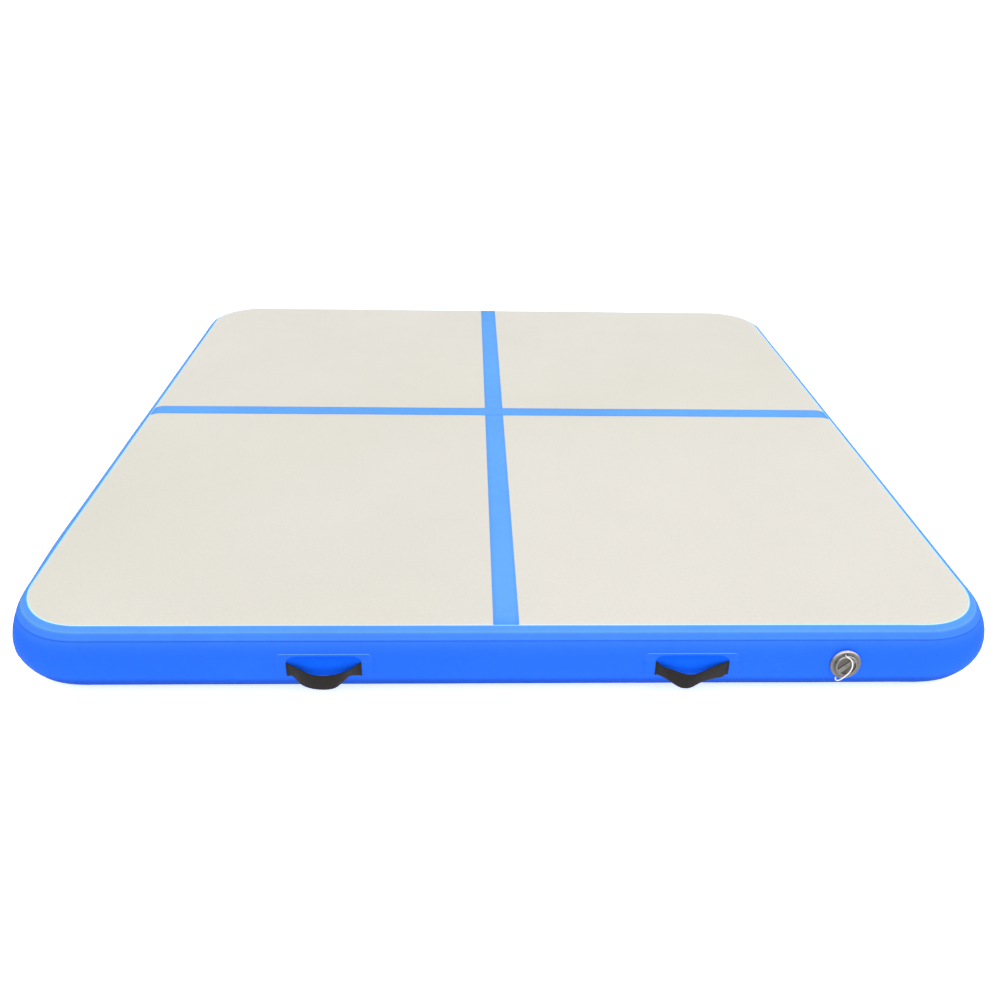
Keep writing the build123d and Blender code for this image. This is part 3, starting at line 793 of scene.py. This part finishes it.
def full_patch(name, wall, material):
    """The base patch: a welded, rounded rectangle, thin at its rim."""
    across = [-1, -0.995, -0.98, -0.965, -0.95] + [-0.9 + 0.05 * i for i in range(37)]
    across += [0.95, 0.965, 0.98, 0.995, 1]
    up_steps = [0, 0.015, 0.05, 0.1] + [0.15 + 0.05 * i for i in range(15)] + [0.9, 0.95, 0.985, 1]
    rows, columns = len(across), len(up_steps)
    verts, shade = [], []
    for layer in (1, 0):
        for i, a in enumerate(across):
            x = a * (PATCH_W / 2 - INSET)
            into = max(0.0, abs(x) - (PATCH_W / 2 - INSET - PATCH_CORNER))
            cut = PATCH_CORNER - sqrt(max(0.0, PATCH_CORNER**2 - into**2))
            for k, t in enumerate(up_steps):
                low, high = PATCH_LOW + INSET / 2 + cut, PATCH_HIGH - INSET / 4 - cut
                y = low + (high - low) * t
                rim = i in (0, rows - 1) or k in (0, columns - 1)
                height = BASE_T * (0.25 if rim else 1.0) if layer else 0.0
                verts.append(wall.on(x, y, STRIP_R + height))
                low_part = smooth((WINDOW_HIGH - y) / (24 * MM))
                middle = smooth((70 * MM - abs(x)) / (45 * MM))
                shade.append(-RECESS_PALE * (low_part * middle))
    faces = grid_faces(rows, columns)
    faces += grid_faces(rows, columns, start=rows * columns)
    ring = list(range(columns)) + [i * columns + columns - 1 for i in range(1, rows)]
    ring += [(rows - 1) * columns + k for k in range(columns - 2, -1, -1)]
    ring += [i * columns for i in range(rows - 2, 0, -1)]
    below = rows * columns
    faces += [(a, b, b + below, a + below) for a, b in zip(ring, ring[1:] + ring[:1])]
    return finish_mesh(name, verts, faces, material, sharp=50, weld=1e-7, shade=shade)


def between(points, x):
    """The values at x on a smooth curve through (x, value, ...) points, by cubic Hermite pieces."""
    for i in range(len(points) - 1):
        if x <= points[i + 1][0] or i == len(points) - 2:
            break
    p = points

    def slope(k, c):
        a, b = max(0, k - 1), min(len(p) - 1, k + 1)
        return (p[b][c] - p[a][c]) / (p[b][0] - p[a][0])

    x0, x1 = p[i][0], p[i + 1][0]
    h = x1 - x0
    t = (x - x0) / h
    result = []
    for c in range(1, len(p[0])):
        m0, m1 = slope(i, c) * h, slope(i + 1, c) * h
        a, b = p[i][c], p[i + 1][c]
        from_start = (2 * t**3 - 3 * t**2 + 1) * a + (t**3 - 2 * t**2 + t) * m0
        from_end = (3 * t**2 - 2 * t**3) * b + (t**3 - t**2) * m1
        result.append(from_start + from_end)
    return result


# The strap's two edges between its sleeves, in millimetres: along, out from the base patch, and
# up from the wall's middle. The lower edge kicks out further than the upper one.
EVEN_UPPER = [
    (-71, 0.3, 16.4), (-60, 4.8, 13.8), (-43, 12.0, 9.8), (-24, 17.3, 3.2), (0, 19.8, 0.9),
    (23, 18.3, 3.2), (38, 15.1, 5.8), (50, 10.8, 8.4), (60, 5.2, 12.2), (71, 0.3, 16.4),
]
EVEN_LOWER = [
    (-71, 0.3, -13.6), (-62, 0.8, -13.6), (-54, 6.4, -16.8), (-45, 14.2, -21.8), (-35, 19.8, -24.2),
    (-20, 24.0, -26.3), (-2, 25.6, -27.2), (12, 24.8, -27.0), (22, 22.4, -25.6), (32, 16.5, -21.0),
    (41, 8.2, -16.0), (49, 1.4, -13.8), (71, 0.3, -13.6),
]
PULLED_UPPER = [
    (-71, 0.3, 16.4), (-66, 3.6, 14.8), (-58, 7.6, 10.4), (-45, 11.6, 8.4), (-26, 16.2, 3.7),
    (-12, 18.2, 0.2), (0, 18.0, -0.4), (13, 16.0, 3.4), (32, 11.2, 9.2), (52, 5.0, 13.8), (71, 0.3, 17.2),
]
PULLED_LOWER = [
    (-71, 0.3, -13.2), (-64, 2.2, -13.2), (-56, 8.4, -13.6), (-48, 14.4, -15.0), (-39, 18.8, -19.8),
    (-24, 23.6, -26.8), (-12, 24.8, -28.2), (-2, 23.2, -27.0), (14, 18.6, -20.2), (27, 13.8, -18.0),
    (46, 6.6, -18.6), (62, 0.8, -19.6), (71, 0.3, -10.6),
]


def make_strap(name, wall, upper, lower, flip):
    """The webbing from end to end: into one sleeve, round the loop and into the other sleeve."""
    tab_end = (TAB_END - TAB_SHORT) / MM
    tab = tab_end - LOOP_HALF
    stations = [-tab_end + tab * i / TAB_STEPS for i in range(TAB_STEPS)]
    stations += [-LOOP_HALF + 2 * LOOP_HALF * i / LOOP_STEPS for i in range(LOOP_STEPS + 1)]
    stations += [LOOP_HALF + tab * (i + 1) / TAB_STEPS for i in range(TAB_STEPS)]
    centre_rows = []
    for x in stations:
        row = []
        for k in range(ACROSS_STEPS + 1):
            t = k / ACROSS_STEPS
            if abs(x) > LOOP_HALF:
                up = STRAP_TOP - STRAP_W * (1 - t)
                row.append(wall.on(x * MM, up, SEAM_R + STRAP_T / 2))
                continue
            sx = -x if flip else x
            (uo, uz), (lo, lz) = between(upper, sx), between(lower, sx)
            out, up = lo + (uo - lo) * t, (lz + (uz - lz) * t) * MM
            free = smooth((LOOP_HALF - abs(x)) / 9)
            cup = 4 * t * (1 - t) * CUP * free
            lying = wall.on(x * MM, up, SEAM_R + STRAP_T / 2)
            hanging = wall.at(x * MM, SEAM_R + (out + cup) * MM, up)
            row.append(lying.lerp(hanging, free))
        centre_rows.append(row)
    rows, columns = len(centre_rows), ACROSS_STEPS + 1
    length = [0.0]
    for i in range(1, rows):
        a, b = centre_rows[i - 1][columns // 2], centre_rows[i][columns // 2]
        length.append(length[-1] + (b - a).length)
    verts, uvs = [], []
    for i, row in enumerate(centre_rows):
        for k, point in enumerate(row):
            before, after = centre_rows[max(0, i - 1)][k], centre_rows[min(rows - 1, i + 1)][k]
            down, up = row[max(0, k - 1)], row[min(columns - 1, k + 1)]
            normal = (after - before).cross(up - down).normalized() * (-wall.side)
            edge_thin = 0.55 if k in (0, ACROSS_STEPS) else 1.0
            for sign in (1, -1):
                verts.append(point + normal * sign * STRAP_T / 2 * edge_thin)
            uvs.append((length[i] / MM, k / ACROSS_STEPS * STRAP_W / MM))

    def index(i, k, layer):
        return (i * columns + k) * 2 + layer

    faces = []
    for i in range(rows - 1):
        for k in range(ACROSS_STEPS):
            square = ((i, k), (i + 1, k), (i + 1, k + 1), (i, k + 1))
            faces.append(tuple(index(a, b, 0) for a, b in square))
            faces.append(tuple(index(a, b, 1) for a, b in square[::-1]))
        for k in (0, ACROSS_STEPS):
            faces.append((index(i, k, 0), index(i, k, 1), index(i + 1, k, 1), index(i + 1, k, 0)))
    for i in (0, rows - 1):
        for k in range(ACROSS_STEPS):
            faces.append((index(i, k, 0), index(i, k + 1, 0), index(i, k + 1, 1), index(i, k, 1)))
    obj = finish_mesh(name, verts, faces, web, sharp=60, weld=1e-7)
    layer = obj.data.uv_layers.new(name="weave")
    lookup = {}
    for n, vert in enumerate(verts):
        lookup[tuple(round(c, 7) for c in vert)] = uvs[n // 2]
    for loop in obj.data.loops:
        co = obj.data.vertices[loop.vertex_index].co
        layer.data[loop.index].uv = lookup.get(tuple(round(c, 7) for c in co), (0, 0))
    return obj


outer_outline = rounded_loop(PATCH_W, PATCH_LOW, PATCH_HIGH, [PATCH_CORNER] * 4)
window_corners = [2 * MM, 2 * MM, WINDOW_CUT, WINDOW_CUT]
window_outline = rounded_loop(WINDOW_W, WINDOW_LOW, WINDOW_HIGH, window_corners, widen=1.6)

# Each handle's strap edges, and whether they are taken from right to left.
HANDLES = {
    "handle_front_left": (EVEN_UPPER, EVEN_LOWER, False),
    "handle_front_right": (PULLED_UPPER, PULLED_LOWER, False),
    "handle_back_left": (PULLED_UPPER, PULLED_LOWER, True),
    "handle_back_right": (EVEN_UPPER, EVEN_LOWER, False),
}


def make_handle(handle, upper, lower, flip):
    """Patches and strap of one handle, where its CAD nodes are."""
    low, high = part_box(f"{handle}_base_patch")
    wall = Wall((low.x + high.x) / 2, -1 if low.y < 0 else 1)
    # the base patch, seen behind the strap, is drawn in the painted-shade blue
    base = full_patch(f"{handle}_base", wall, shade_blue)
    cover = ring_patch(f"{handle}_cover", wall, outer_outline, window_outline, blue)
    strap = make_strap(f"{handle}_webbing", wall, upper, lower, flip)
    for piece, node in ((base, "base_patch"), (cover, "cover_patch")):
        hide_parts(f"{handle}_{node}")
        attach(piece, "root")
    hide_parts(f"{handle}_strap", f"{handle}_strap_ends")
    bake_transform(strap)


for handle, (upper, lower, flip) in HANDLES.items():
    make_handle(handle, upper, lower, flip)


# ---- valve ------------------------------------------------------------------------------------
def paint(node, material):
    """Gives a CAD node its procedural material."""
    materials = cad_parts[node].data.materials
    materials.clear()
    materials.append(material)


paint("valve_cap", cap_grey)
for node in ("valve_body", "valve_backing_nut", "valve_plunger"):
    paint(node, valve_grey)
for node in ("plunger_nut", "tether_ring", "spring_collar"):
    paint(node, valve_grey)
for node in ("valve_gasket_inner", "valve_diaphragm", "cap_seal"):
    paint(node, rubber)
# painted shade: a dark blue line round the valve's flange
paint("valve_gasket_outer", shade_blue)

# The tether's route, in millimetres in the valve's own frame: right, up the wall, out of the wall.
TETHER_ROUTE = [
    (-5.4, 23.4, 8.5),
    (-5.4, 23.4, 12.5),
    (-1.0, 21.4, 14.2),
    (3.9, 17.8, 14.5),
    (7.4, 12.1, 14.2),
    (9.0, 4.9, 14.0),
    (8.3, -3.8, 13.9),
    (4.4, -11.8, 14.0),
    (-0.8, -18.8, 13.6),
    (-5.6, -25.6, 11.6),
    (-9.4, -31.4, 8.4),
    (-13.0, -34.6, 5.2),
    (-16.3, -32.1, 2.4),
    (-14.3, -28.07, 2.4),
]
TETHER_D = 2.3 * MM


def valve_place(point):
    """A point given in the valve's own frame, in the row frame."""
    x, y, z = (c * MM for c in point)
    up = VALVE_OUT.cross(Vector((1, 0, 0)))
    return VALVE_ORIGIN + Vector((1, 0, 0)) * x + up * y + VALVE_OUT * z


def spline_points(route):
    """Points along the NURBS curve whose control points are the route."""
    data = bpy.data.curves.new("route", "CURVE")
    data.dimensions = "3D"
    data.resolution_u = 12
    spline = data.splines.new("NURBS")
    spline.points.add(len(route) - 1)
    for control, point in zip(spline.points, route):
        control.co = (*point, 1.0)
    spline.order_u = 3
    spline.use_endpoint_u = True
    holder = bpy.data.objects.new("route", data)
    mesh = bpy.data.meshes.new_from_object(holder)
    points = [v.co.copy() for v in mesh.vertices]
    bpy.data.objects.remove(holder)
    bpy.data.meshes.remove(mesh)
    return points


def tube(name, path, radius, material, sides=20):
    """A round tube along a path, with flat ends."""
    verts = []
    side = Vector((0, 0, 1))
    for i, point in enumerate(path):
        ahead = (path[min(i + 1, len(path) - 1)] - path[max(i - 1, 0)]).normalized()
        side = (side - ahead * side.dot(ahead)).normalized()
        other = ahead.cross(side)
        for k in range(sides):
            angle = 2 * pi * k / sides
            verts.append(point + (side * cos(angle) + other * sin(angle)) * radius)
    faces = grid_faces(len(path), sides, close_columns=True)
    last = len(verts) - sides
    faces += [tuple(range(sides))[::-1], tuple(range(last, last + sides))]
    return finish_mesh(name, verts, faces, material, sharp=60)


tether_path = spline_points([valve_place(p) for p in TETHER_ROUTE])
tether = tube("cap_tether_cord", tether_path, TETHER_D / 2, cord_white)
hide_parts("cap_tether")
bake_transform(tether)


# ---- the plunger's spring ----------------------------------------------------------------------
# In millimetres along the valve's axis and round it. On the real valve its foot stays put and its head
# goes with the plunger, so it shortens when the plunger is pressed; this coil is drawn at one length.
SPRING_FOOT, SPRING_HEAD, COIL_R, WIRE_D = -15.0, -5.7, 3.9, 0.8
TURNS, TURN_STEPS = 4, 24
coil_path = []
for step in range(TURNS * TURN_STEPS + 1):
    turn = 2 * pi * step / TURN_STEPS
    rise = SPRING_FOOT + (SPRING_HEAD - SPRING_FOOT) * step / (TURNS * TURN_STEPS)
    coil_path.append(valve_place((COIL_R * cos(turn), COIL_R * sin(turn), rise)))
coil = tube("valve_spring_coil", coil_path, WIRE_D / 2 * MM, steel, sides=10)
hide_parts("valve_spring")
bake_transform(coil)


# ---- what each chamber piece rides on and stands for -------------------------------------------
for piece, node, slot in (
    (top_sheet, "top_sheet", "pvc_cream"),
    (bottom_sheet, "bottom_sheet", "pvc_blue"),
    (seam_top, "seam_tape_top", "pvc_blue"),
    (seam_bottom, "seam_tape_bottom", "pvc_blue"),
    (side_strip, "side_wall_strip", "pvc_blue"),
    (tape_long, "line_tape_long", "tape_light_blue"),
    (tape_cross, "line_tape_cross", "tape_light_blue"),
    (cloth_top, "drop_stitch_cloth_top", "drop_stitch"),
    (cloth_bottom, "drop_stitch_cloth_bottom", "drop_stitch"),
    (yarns, "drop_stitch_threads", "drop_stitch"),
):
    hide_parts(node)
    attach(piece, "root")


# ---- floor and light ---------------------------------------------------------------------------
FLOOR_HALF = 40.0
FLOOR_GLOW = 0.62  # the floor's own light, which keeps it white right up to the mat
FLOOR_DROP = 0.2 * MM  # it lies this far under the mat, so that the two never share a plane


def make_floor():
    """A plain pale floor."""
    s = Shader("studio_floor")
    tone = s.span(s.noise(0.6, 2.0, 0.5), 0.3, 0.7, 0.945, 0.96)
    material = s.finish(
        Base_Color=s.mix(1.0, rgb(1, 1, 1), tone, "MULTIPLY"),
        Roughness=0.9,
        Specular_IOR_Level=0.1,
        Emission_Strength=FLOOR_GLOW,
        Emission_Color=rgb(1, 1, 1),
    )
    mesh = bpy.data.meshes.new("floor")
    corners = [(x * FLOOR_HALF, y * FLOOR_HALF, 0) for x, y in ((-1, -1), (1, -1), (1, 1), (-1, 1))]
    mesh.from_pydata(corners, [], [(0, 1, 2, 3)])
    mesh.materials.append(material)
    floor = bpy.data.objects.new("floor", mesh)
    floor.location.z = -FLOOR_DROP
    bpy.context.scene.collection.objects.link(floor)


def area_light(name, place, target, size, power):
    """A square soft light that points at its target."""
    data = bpy.data.lights.new(name, "AREA")
    data.shape, data.size, data.energy = "SQUARE", size, power
    light = bpy.data.objects.new(name, data)
    light.location = place
    light.rotation_euler = (Vector(target) - Vector(place)).to_track_quat("-Z", "Y").to_euler()
    bpy.context.scene.collection.objects.link(light)


def make_light():
    """An even white surround with a soft key from the upper front right."""
    world = bpy.data.worlds.new("studio")
    world.use_nodes = True
    background = world.node_tree.nodes["Background"]
    background.inputs["Color"].default_value = rgb(1, 1, 1)
    background.inputs["Strength"].default_value = 1.2
    bpy.context.scene.world = world
    area_light("key", (1.5, -2.5, 4.5), (0, 0, 0), 3.0, 40)
    bpy.context.scene.view_settings.view_transform = "Standard"


make_floor()
make_light()
